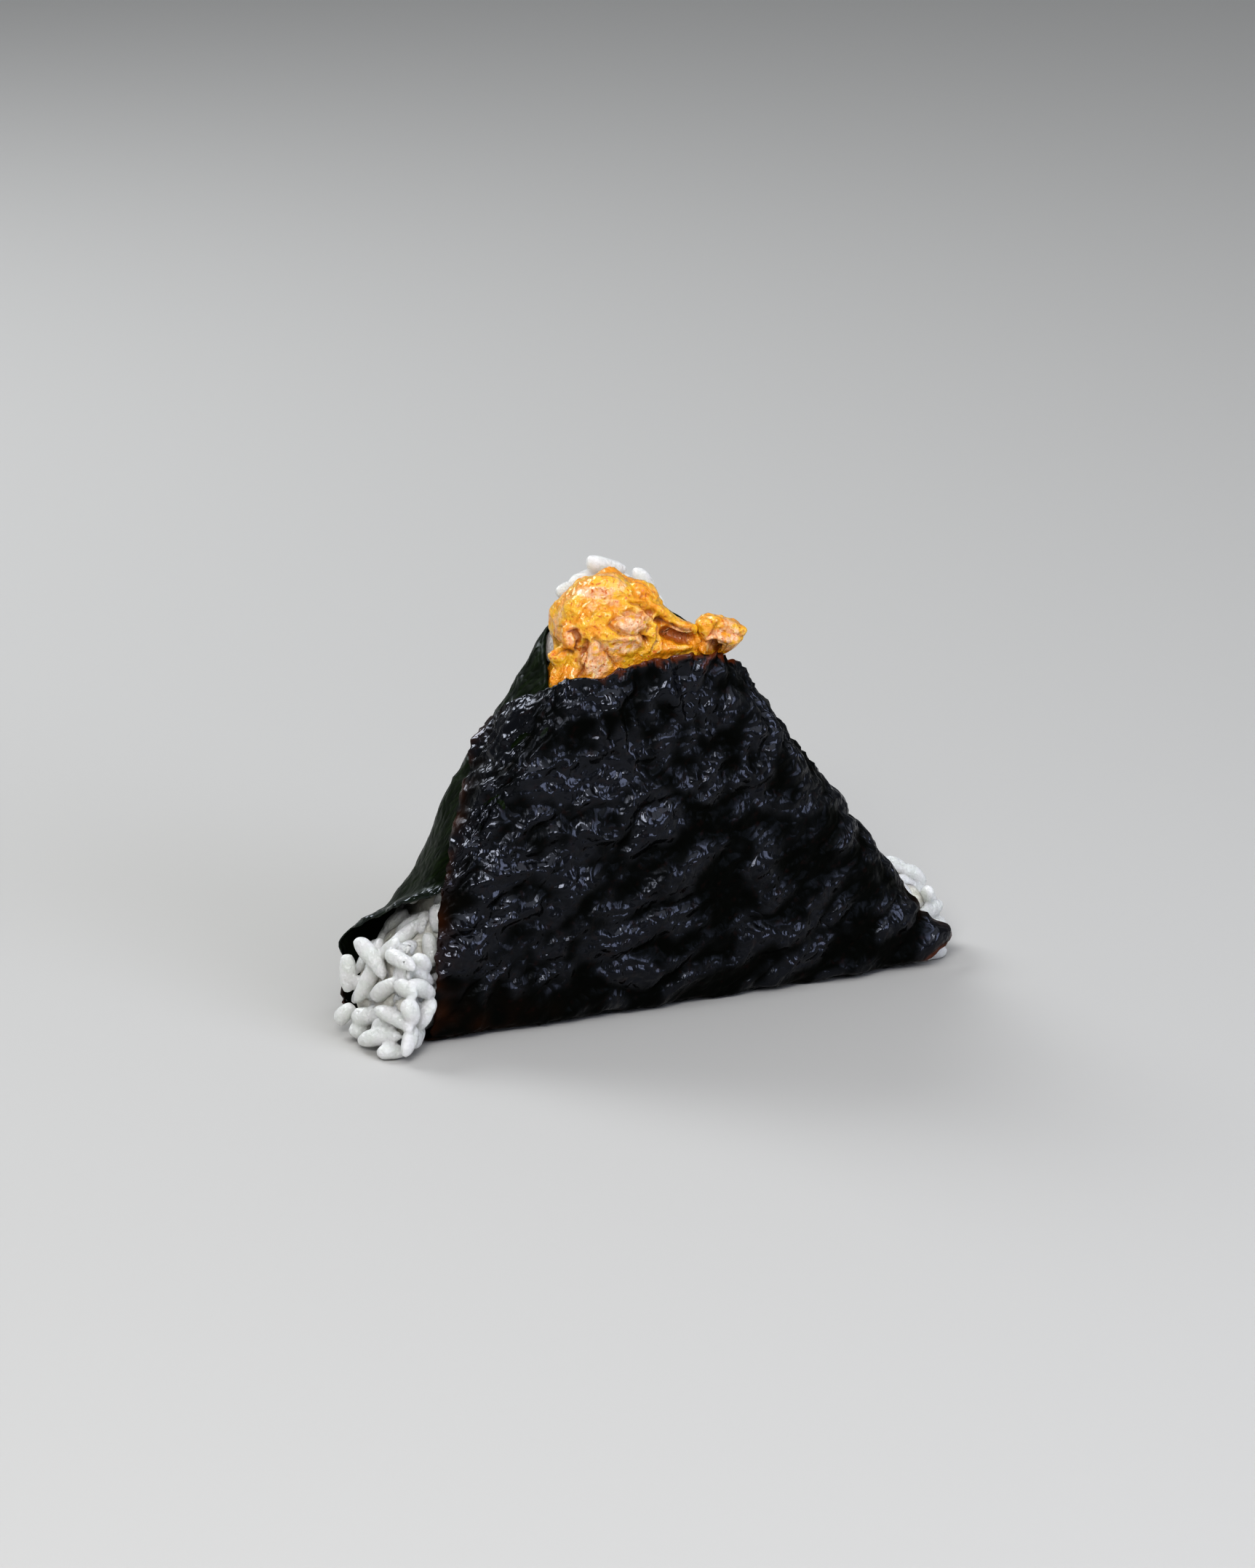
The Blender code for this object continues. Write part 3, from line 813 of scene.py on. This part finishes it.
def sample_surface(obj, wanted, count, rng):
    """Random points on the part of a mesh that wanted() accepts, with their normals."""
    mesh = obj.data
    mesh.calc_loop_triangles()
    points = mesh_points(obj)
    triangles = np.array([triangle.vertices for triangle in mesh.loop_triangles])
    corners = points[triangles]
    middle = corners.mean(axis=1)
    cross = np.cross(corners[:, 1] - corners[:, 0], corners[:, 2] - corners[:, 0])
    area = np.linalg.norm(cross, axis=1)
    chance = area * wanted(middle)
    picks = rng.choice(len(triangles), size=count, p=chance / chance.sum())
    weights = rng.dirichlet((1, 1, 1), size=count)
    places = (corners[picks] * weights[:, :, None]).sum(axis=1)
    return places, cross[picks] / area[picks, None]


def segment_gaps(start, end, starts, ends):
    """The distance from one segment to each of many others."""
    run, runs = end - start, ends - starts
    gap = start - starts
    own, others, dot = run @ run, (runs * runs).sum(axis=1), runs @ run
    scale = np.clip(own * others - dot * dot, 1e-6, None)
    first = np.clip((dot * (runs * gap).sum(axis=1) - others * (gap @ run)) / scale, 0, 1)
    second = np.clip((dot * first + (runs * gap).sum(axis=1)) / others, 0, 1)
    first = np.clip((dot * second - gap @ run) / own, 0, 1)
    apart = gap + first[:, None] * run - second[:, None] * runs
    return np.linalg.norm(apart, axis=1)


def surface_tree(obj):
    """The object's faces, in millimetres, in a form that finds the one nearest to a point."""
    polygons = [tuple(polygon.vertices) for polygon in obj.data.polygons]
    return BVHTree.FromPolygons(mesh_points(obj).tolist(), polygons)


class Heap:
    """Loose grains, as the segments along their middles, that keep within the rice ball's outline and
    clear of each other and of the nori."""

    def __init__(self, skin, outline):
        self.skin = skin
        self.outline = outline
        self.starts = []
        self.ends = []
        self.outward = []

    def clear_of_nori(self, start, end):
        for share in (0, 0.25, 0.5, 0.75, 1):
            place, _, _, distance = self.skin.find_nearest(start + share * (end - start), GRAIN_WIDTH)
            if place is not None and distance < 0.5 * GRAIN_DEPTH:
                return False
        return True

    def within_outline(self, point):
        place, normal, _, _ = self.outline.find_nearest(point)
        return (Vector(point) - place).dot(normal) < -GRAIN_INSET

    def offer(self, start, end, outward, spacing):
        """Adds a grain if it is at least spacing from every grain so far."""
        ends = np.array((start, end))
        if ends[:, 2].min() < 0.5 * GRAIN_DEPTH or ends[:, 2].max() > HEAP_TOP:
            return
        if HEAP_SIDE.distance(ends).max() > 0 or not all(map(self.within_outline, ends)):
            return
        gaps = segment_gaps(start, end, np.array(self.starts), np.array(self.ends))
        if gaps.min() >= spacing and self.clear_of_nori(start, end):
            self.add(start, end, outward)

    def add(self, start, end, outward):
        self.starts.append(start)
        self.ends.append(end)
        self.outward.append(outward)


def bare_rice(points):
    """1 where the rice ball shows past the nori: at its two lower ends and at its top."""
    x, y, z = points.T
    left = smooth_step(-x, -6, -2) * smooth_step(-z, -26, -20)
    right = smooth_step(x, 80, 84) * smooth_step(y, 1, 3)
    apex = smooth_step(z, 58, 61) * smooth_step(y, 11, 13)
    return np.clip(left + right + apex, 0, 1) * (z > 0.4)


def pile_grains(heap, outline, rng):
    """Fills the bare rice with grains: an outer layer first, then one that shows between them."""
    for start, end in SHOWN_GRAINS:
        start, end = np.array(start), np.array(end)
        inset = (end - start) / np.linalg.norm(end - start) * 0.5 * GRAIN_WIDTH
        heap.add(start + inset, end - inset, BROAD_SIDE)
    for depth, spacing, count in GRAIN_LAYERS:
        places, normals = sample_surface(outline, bare_rice, count, rng)
        along = np.cross(normals, rng.normal(size=(count, 3)))
        along /= np.linalg.norm(along, axis=1)[:, None]
        along += normals * rng.normal(0, 0.2, count)[:, None]
        half = 0.5 * (GRAIN_LENGTH - GRAIN_WIDTH) * rng.uniform(0.8, 1.08, count)
        middles = places - normals * rng.uniform(depth - 0.2, depth + 0.4, count)[:, None]
        for middle, reach, normal in zip(middles, along * half[:, None], normals):
            heap.offer(middle - reach, middle + reach, normal, spacing)


def make_grain(template, start, end, outward, rng):
    """The points of one grain: bent, a little lumpy, and blunt or chipped at its tips."""
    length = np.linalg.norm(end - start) + GRAIN_WIDTH
    girth = rng.uniform(0.92, 1.08)
    shape = template * np.array((length, GRAIN_WIDTH * girth, GRAIN_DEPTH * girth)) / 2
    bend = rng.uniform(-0.02, 0.035)
    shape[:, 1] += bend * (shape[:, 0] ** 2 - length**2 / 12)
    for tip in (-1, 1):
        chip = rng.uniform(0.78, 1.15) * length / 2 + rng.normal(0, 0.4) * shape[:, 1] / GRAIN_WIDTH
        past = np.clip(tip * shape[:, 0] - chip, 0, None)
        shape[:, 0] -= tip * 0.7 * past
    offset = rng.uniform(0, 90, 3)
    lumps = 0.14 * Noise(71)(shape / (2.2, 1.2, 1.2) + offset) + 0.04 * Noise(72)(shape / 0.8 + offset)
    shape[:, 1:] *= 1 + lumps[:, None]
    forward = (end - start) / np.linalg.norm(end - start)
    side = np.cross(forward, outward + rng.normal(0, 0.25, 3))
    side /= np.linalg.norm(side)
    axes = np.array((forward, side, np.cross(forward, side)))
    return shape @ axes + (start + end) / 2


def make_grains(sheet):
    """The loose grains, melted together where they touch, as sticky rice does."""
    rng = np.random.default_rng(7)
    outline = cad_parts["rice_ball"]
    heap = Heap(surface_tree(sheet), surface_tree(outline))
    pile_grains(heap, outline, rng)
    template, template_faces = grain_template()
    points, faces = [], []
    for start, end, outward in zip(heap.starts, heap.ends, heap.outward):
        first = len(template) * len(points)
        points.append(make_grain(template, start, end, outward, rng))
        faces += [tuple(first + corner for corner in face) for face in template_faces]
    points = np.concatenate(points)
    points[:, 2] = np.maximum(points[:, 2], 0.02)
    loose = make_object("rice_grains", points, faces, rice_material("rice", LOOSE_RICE))
    voxel_remesh(loose, GRAIN_CELL)
    relax(loose, 0.5, 1)
    loose.data.shade_smooth()
    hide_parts("rice_ball")
    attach(loose, "root")


# ---------------------------------------------------------------- salmon

# Flakes of the heap: middle, size and turns in degrees about X, Y and Z.
FLAKES = (
    ((35.6, 2.0, 64.2), (6.8, 3.0, 3.6), (0, 10, 0)),
    ((30.2, 3.2, 59.0), (4.6, 2.4, 7.0), (0, 18, 0)),
    ((34.5, 2.6, 60.6), (7.0, 2.6, 3.6), (0, 28, 0)),
    ((26.4, 4.6, 61.8), (3.0, 2.6, 4.8), (0, -8, 0)),
    ((25.2, 6.0, 58.8), (4.4, 3.0, 2.6), (0, -25, 0)),
    ((24.4, 5.4, 55.0), (2.2, 2.4, 6.4), (0, 10, 0)),
    ((42.3, 3.4, 64.2), (8.5, 3.0, 2.4), (0, 40, 0)),
    ((39.8, 2.6, 61.8), (2.2, 2.6, 6.4), (0, 4, 0)),
    ((43.2, 2.8, 58.9), (8.4, 2.4, 1.9), (0, -3, 0)),
    ((48.2, 3.2, 59.2), (1.4, 1.6, 5.0), (0, -18, 0)),
    ((40.2, 5.2, 67.3), (6.4, 4.2, 2.2), (0, 38, 0)),
    ((28.6, 6.2, 67.4), (6.4, 4.6, 2.4), (0, -42, 0)),
    ((33.8, 5.2, 68.6), (8.0, 4.6, 1.6), (0, 0, 0)),
    ((43.6, 4.8, 61.8), (8.0, 3.6, 4.4), (0, 20, 0)),
    ((45.4, 2.8, 61.8), (5.0, 2.6, 2.6), (0, 12, 0)),
    ((49.0, 4.4, 57.8), (7.0, 3.4, 3.0), (0, 10, 0)),
)

# Flakes of the slab at the right of the opening.
SLAB_FLAKES = (
    ((52.2, 2.8, 60.9), (7.4, 4.6, 4.0), (0, 18, 0)),
    ((52.6, 1.6, 59.5), (6.0, 3.0, 1.5), (12, 24, 0)),
    ((49.4, 2.8, 61.4), (2.6, 3.6, 3.6), (0, -15, 0)),
    ((51.4, 3.4, 57.9), (6.4, 4.0, 2.8), (0, 20, 0)),
)

# How boxy the flakes are: their sections are ellipses at 1, and squarer below that.
FLAKE_BOXINESS = 0.85
SLAB_BOXINESS = 0.5

# Folds between flakes, as seen from the front: points (X, Z), then width and depth.
FOLDS = (
    (((32.0, 64.2), (33.0, 65.6), (35.6, 66.2), (37.8, 65.3), (39.0, 63.4), (38.3, 62.2)), 0.40, 0.7),
    (((38.3, 62.2), (36.6, 62.0), (33.6, 62.8), (32.0, 64.2)), 0.40, 0.7),
    (((37.4, 62.0), (38.4, 61.4), (38.6, 60.8)), 0.65, 2.2),
    (((28.3, 61.6), (27.9, 58.5), (27.4, 56.0)), 0.45, 1.0),
    (((29.4, 62.2), (31.8, 59.4), (33.3, 57.2)), 0.35, 0.6),
    (((25.6, 63.3), (26.6, 63.4), (27.4, 61.8), (27.3, 59.8)), 0.40, 0.9),
    (((23.4, 59.6), (25.0, 60.4), (26.6, 59.6)), 0.40, 0.8),
    (((27.6, 67.0), (29.2, 68.6), (31.6, 69.2), (35.0, 69.0), (38.3, 68.0)), 0.45, 0.5),
    (((28.6, 65.2), (30.5, 66.8), (33.0, 67.2), (35.4, 67.0)), 0.40, 0.4),
    (((36.0, 67.4), (38.0, 66.6), (40.6, 64.0), (43.0, 62.4), (46.0, 61.4)), 0.45, 0.9),
    (((39.3, 68.0), (43.0, 65.9), (46.2, 63.4)), 0.40, 0.5),
    (((42.4, 61.6), (44.6, 60.7), (46.6, 60.4)), 0.70, 1.3),
    (((40.9, 63.2), (40.8, 61.0), (40.0, 59.4)), 0.40, 0.8),
    (((49.9, 59.3), (52.6, 58.2), (55.0, 57.0)), 0.50, 1.0),
    (((50.2, 62.4), (49.4, 60.8)), 0.35, 0.6),
    (((51.0, 61.6), (54.0, 60.4), (56.8, 59.0)), 0.30, 0.4),
)

# Where bare flesh shows through the sauce: middle and radii.
FLESH = (
    ((35.6, 1.0, 64.2), (3.2, 3.0, 1.8)),
    ((30.0, 2.5, 58.8), (2.4, 4.0, 3.2)),
    ((34.6, 2.0, 61.0), (3.6, 3.0, 1.6)),
    ((26.6, 4.5, 62.4), (1.4, 3.0, 1.8)),
    ((44.6, 3.0, 61.4), (2.2, 3.0, 1.0)),
    ((51.8, 0.5, 60.4), (3.4, 3.0, 1.4)),
    ((31.0, 4.0, 69.0), (3.4, 4.0, 0.9)),
)


def flake(middle, sizes, turns, seed, boxiness):
    """Points and faces of one lump of salmon: a boxy ellipsoid, unevenly swollen."""
    mesh = bmesh.new()
    bmesh.ops.create_uvsphere(mesh, u_segments=24, v_segments=16, radius=1)
    points = np.array([vertex.co for vertex in mesh.verts])
    faces = [tuple(vertex.index for vertex in face.verts) for face in mesh.faces]
    mesh.free()
    points = np.sign(points) * np.abs(points) ** boxiness * np.array(sizes) / 2
    points *= 1 + 0.16 * Noise(seed)(points / 1.6)[:, None]
    x, y, z = (Matrix.Rotation(math.radians(turn), 3, axis) for turn, axis in zip(turns, "XYZ"))
    return points @ np.array(z @ y @ x).T + np.array(middle), faces


def add_flakes(obj, flakes, seed, boxiness):
    """Adds flakes to an object's mesh, each with a seed of its own."""
    mesh = bmesh.new()
    mesh.from_mesh(obj.data)
    for index, (middle, sizes, turns) in enumerate(flakes):
        points, faces = flake(middle, sizes, turns, seed + index, boxiness)
        corners = [mesh.verts.new(point) for point in to_row(points)]
        for face in faces:
            mesh.faces.new([corners[corner] for corner in face])
    mesh.to_mesh(obj.data)
    mesh.free()


def distance_to_path(points, path):
    """Distance in the XZ plane from each point to a path of straight runs."""
    flat = points[:, (0, 2)]
    nearest = np.full(len(points), np.inf)
    for start, end in zip(np.array(path), np.array(path)[1:]):
        run = end - start
        share = np.clip((flat - start) @ run / (run @ run), 0, 1)
        nearest = np.minimum(nearest, np.linalg.norm(flat - start - share[:, None] * run, axis=1))
    return nearest


def behind_sheet(points):
    """Moves points that would stand in front of the sheet's front panel back behind it."""
    distance, gradient = distance_to_prism(points)
    below = 1 - smooth_step(points[:, 2], FRONT_HEIGHT + 0.5, FRONT_HEIGHT + 2.5)
    return points - (np.clip(distance + 1.2, 0, None) * below)[:, None] * gradient


def finish_salmon(obj, cell):
    """Melts the flakes together, presses in the folds, then adds the wet unevenness of the sauce."""
    voxel_remesh(obj, cell)
    relax(obj, 0.5, 3)
    points, normals = mesh_points(obj), mesh_normals(obj)
    front = smooth_step(-normals[:, 1], -0.1, 0.4)
    wander = points + 0.35 * np.column_stack((Noise(81)(points / 1.5), 0 * front, Noise(82)(points / 1.5)))
    fold = np.zeros(len(points))
    for path, width, depth in FOLDS:
        fold = np.maximum(fold, depth * np.exp(-((distance_to_path(wander, path) / width) ** 2)))
    lumps = Noise(83)(points / 2.6)
    pits = 1 - 2 * np.abs(Noise(84)(points / 1.1))
    small = Noise(85)(points / 0.6)
    height = 0.22 * lumps - 0.10 * pits + 0.06 * small - fold * front
    points = behind_sheet(points + normals * height[:, None])
    set_points(obj, points)
    obj.data.shade_smooth()
    mark_salmon(obj, fold * front)


def mark_salmon(obj, fold):
    """Marks how deep each point lies between its neighbours, which the material darkens as painted shade,
    and where bare flesh shows.
    """
    smooth = new_object("smooth", obj.data.copy())
    relax(smooth, 0.7, 16)
    points, normals = mesh_points(obj), mesh_normals(obj)
    depth = ((mesh_points(smooth) - points) * normals).sum(axis=1)
    bpy.data.objects.remove(smooth)
    # Painted shade in hollows and folds.
    set_attribute(obj, "painted_fold_shade", smooth_step(depth + 0.25 * fold, 0.06, 0.55))
    flesh = 0.7 * smooth_step(Noise(86)(points / 3.0), 0.25, 0.6)
    for middle, radii in FLESH:
        flesh = np.maximum(flesh, smooth_step(bump(points, middle, radii), 0.2, 0.6))
    set_attribute(obj, "flesh", flesh * smooth_step(Noise(87)(points / 0.9), -0.55, -0.1))


def make_filling(material):
    """The heap of flaked salmon: the CAD solid with flakes on it, melted together."""
    filling = copy_of_node("salmon_filling", "salmon_flakes", material)
    add_flakes(filling, FLAKES, 200, FLAKE_BOXINESS)
    finish_salmon(filling, FILLING_CELL)
    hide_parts("salmon_filling")
    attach(filling, "root")


def make_slab(material):
    """The slab of salmon that leans over the sheet's edge."""
    slab = new_object("salmon_slab", bpy.data.meshes.new("salmon_slab"))
    slab.data.materials.append(material)
    add_flakes(slab, SLAB_FLAKES, 300, SLAB_BOXINESS)
    finish_salmon(slab, SLAB_CELL)
    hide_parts("salmon_chunk_right")
    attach(slab, "root")


# ---------------------------------------------------------------- floor, light and camera

# The floor and the lights, in metres. Each softbox: name, direction that it stands in, distance, side,
# radiance and colour.
FLOOR_SIDE = 8
FLOOR_COLOUR = (0.50, 0.49, 0.47, 1)
LIGHT_AIM = (0, 0, 0.03)
SOFTBOXES = (
    ("key", (-0.50, -0.62, 0.60), 0.9, 0.30, 10.5, (1.0, 1.0, 1.0)),
    ("front", (0.42, -0.82, 0.38), 0.9, 0.46, 3.4, (0.78, 0.83, 1.0)),
    ("top", (0.05, -0.35, 0.95), 1.8, 1.80, 1.0, (0.97, 0.98, 1.0)),
    ("back", (-0.25, 0.72, 0.64), 0.9, 0.40, 6.0, (0.93, 0.96, 1.0)),
)
WORLD_COLOUR = (0.90, 0.94, 1.0, 1)
WORLD_STRENGTH = 0.25

# Where the camera stands, in millimetres in the modelling frame, where it looks, and its lens and sensor
# width.
CAMERA_PLACE = (-313.6, -704.1, 286.1)
CAMERA_HEADING = (0.4432, 0.8964, 0)
CAMERA_PITCH = math.radians(17.509)
CAMERA_ROLL = math.radians(0.5716)
CAMERA_LENS = 119.6
CAMERA_SENSOR = 36


def make_floor():
    bpy.ops.mesh.primitive_plane_add(size=FLOOR_SIDE)
    floor = bpy.context.object
    floor.name = "floor"
    look = Look("floor")
    look.inputs["Base Color"].default_value = FLOOR_COLOUR
    look.inputs["Roughness"].default_value = 0.8
    look.inputs["Specular IOR Level"].default_value = 0.2
    floor.data.materials.append(look.material)


def add_softbox(name, direction, distance, size, radiance, colour):
    """A square light that faces the object from a direction. Its power gives it that radiance."""
    data = bpy.data.lights.new(name, "AREA")
    data.size = size
    data.energy = radiance * math.pi * size * size
    data.color = colour
    light = new_object(name, data)
    light.location = Vector(LIGHT_AIM) + Vector(direction).normalized() * distance
    light.rotation_euler = Vector(direction).to_track_quat("Z", "Y").to_euler()


def make_lights():
    for softbox in SOFTBOXES:
        add_softbox(*softbox)
    world = bpy.data.worlds.new("studio")
    world.use_nodes = True
    background = world.node_tree.nodes["Background"]
    background.inputs["Color"].default_value = WORLD_COLOUR
    background.inputs["Strength"].default_value = WORLD_STRENGTH
    bpy.context.scene.world = world


def make_camera():
    """The camera at the photograph's viewing angle."""
    data = bpy.data.cameras.new("camera")
    data.lens = CAMERA_LENS
    data.sensor_width = CAMERA_SENSOR
    data.clip_start = 0.05
    camera = new_object("camera", data)
    heading = Vector(CAMERA_HEADING).normalized()
    forward = heading * math.cos(CAMERA_PITCH) - Vector((0, 0, 1)) * math.sin(CAMERA_PITCH)
    level = forward.to_track_quat("-Z", "Y").to_matrix().to_4x4()
    roll = Matrix.Rotation(CAMERA_ROLL, 4, "Z")
    camera.matrix_world = Matrix.Translation(Vector(to_row(CAMERA_PLACE))) @ level @ roll
    bpy.context.scene.camera = camera


def main():
    sheet = make_nori()
    make_core()
    make_grains(sheet)
    material = salmon_material()
    make_filling(material)
    make_slab(material)
    make_floor()
    make_lights()
    make_camera()
    bpy.context.scene.view_settings.view_transform = "Standard"
    bpy.context.scene.view_settings.look = "High Contrast"


main()
